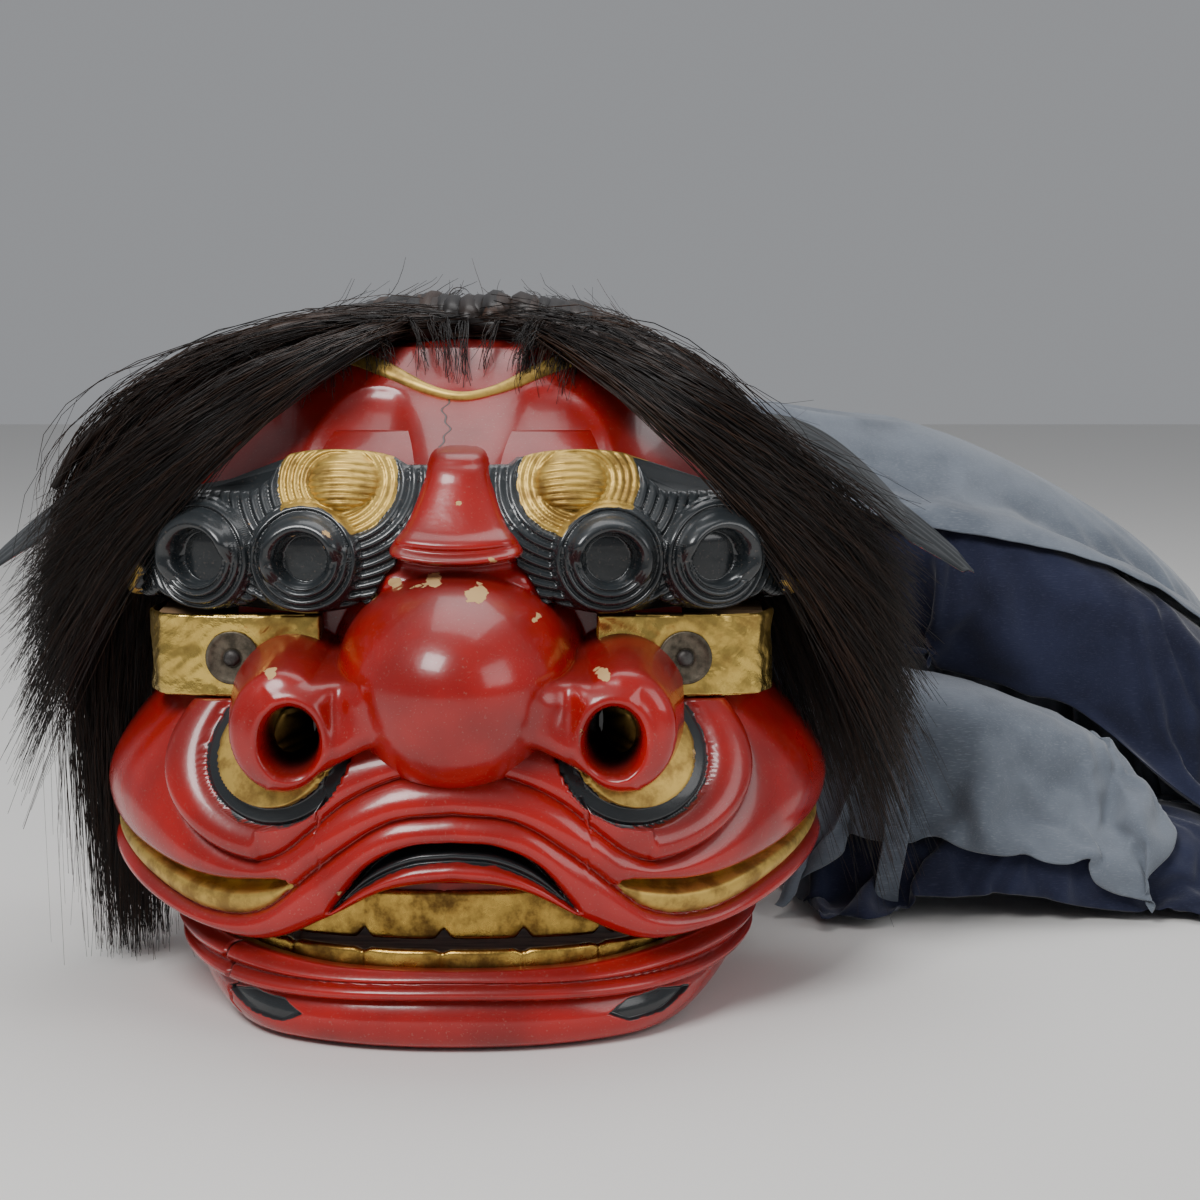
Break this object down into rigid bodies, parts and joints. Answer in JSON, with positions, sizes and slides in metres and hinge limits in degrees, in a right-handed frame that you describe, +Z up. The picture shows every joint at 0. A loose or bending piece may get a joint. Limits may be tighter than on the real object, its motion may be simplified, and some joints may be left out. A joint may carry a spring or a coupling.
{
  "type": "lion dance head",
  "caption": "Carved and lacquered lion dance head with gilt teeth and eyes, an opening jaw, swinging ears, a horsehair mane and a cloth body.",
  "frame": {"origin": "on the flat underside of the lower jaw's floor board, midway between its sides, level with the rear end of the carved jaw", "axes": "+Z up out of the table the jaw stands on, +Y from the face towards the open rear of the head, +X to the right of someone who looks at the face"},
  "size_m": [0.716, 0.5461, 0.3414],
  "materials": {
    "red_lacquer": "semi-gloss red lacquer over carved wood, worn at the edges",
    "black_lacquer": "glossy black lacquer over carved wood",
    "gilding": "gilt copper sheet and gold leaf, rubbed",
    "pupil_metal": "tarnished metal sheet, satin",
    "bare_wood": "bare planed wood, darkened by handling",
    "iron": "dark forged iron",
    "horsehair": "coarse dark horsehair",
    "leather": "raw leather strip",
    "grey_cloth": "faded blue-grey cotton",
    "navy_cloth": "dark blue cotton"
  },
  "bodies": {
    "jaw": {"lower_jaw": "red_lacquer", "lower_teeth": "gilding", "lower_gum": "red_lacquer", "jaw_floor": "bare_wood", "jaw_arm_left": "bare_wood", "jaw_arm_right": "bare_wood", "lower_grip": "bare_wood", "cloth_back": "grey_cloth", "cloth_side": "navy_cloth", "cloth_lining": "grey_cloth", "cloth_base": "navy_cloth", "cloth_tie": "grey_cloth"},
    "upper_head": {"head_shell": "red_lacquer", "muzzle": "red_lacquer", "nose": "red_lacquer", "brow_left": "black_lacquer", "brow_right": "black_lacquer", "eye_block_left": "bare_wood", "eye_block_right": "bare_wood", "eye_sheet_left": "gilding", "eye_sheet_right": "gilding", "pupil_disc_left": "pupil_metal", "pupil_disc_right": "pupil_metal", "pupil_stud_left": "iron", "pupil_stud_right": "iron", "forehead_band": "gilding", "palate": "red_lacquer", "upper_teeth": "gilding", "upper_gum": "red_lacquer", "hinge_rod": "bare_wood", "hinge_peg_left": "bare_wood", "hinge_peg_right": "bare_wood", "upper_grip": "bare_wood", "ear_bracket_left": "bare_wood", "ear_bracket_right": "bare_wood", "ear_pin_left": "iron", "ear_pin_right": "iron", "hair_strip": "leather", "hair_crown": "horsehair", "hair_left": "horsehair", "hair_right": "horsehair", "rim_batten": "bare_wood", "cloth_collar": "grey_cloth", "cloth_tack_1": "iron", "cloth_tack_2": "iron", "cloth_tack_3": "iron", "cloth_tack_4": "iron", "cloth_tack_5": "iron", "cloth_tack_6": "iron", "cloth_tack_7": "iron", "cloth_tack_8": "iron"},
    "ear_left_body": {"ear_left": "black_lacquer"},
    "ear_right_body": {"ear_right": "black_lacquer"}
  },
  "joints": [
    {"name": "mouth_hinge", "type": "hinge", "parent": "jaw", "child": "upper_head", "pos_m": [0, 0.1, 0.085], "axis": [-1, 0, 0], "range_deg": [0, 30], "deforming": ["cloth_collar"]},
    {"name": "ear_left_flap", "type": "hinge", "parent": "upper_head", "child": "ear_left_body", "pos_m": [-0.13, 0.05, 0.262], "axis": [0, 1, 0], "range_deg": [0, 35], "deforming": ["hair_left"]},
    {"name": "ear_right_flap", "type": "hinge", "parent": "upper_head", "child": "ear_right_body", "pos_m": [0.13, 0.05, 0.262], "axis": [0, -1, 0], "range_deg": [0, 35], "deforming": ["hair_right"]}
  ]
}
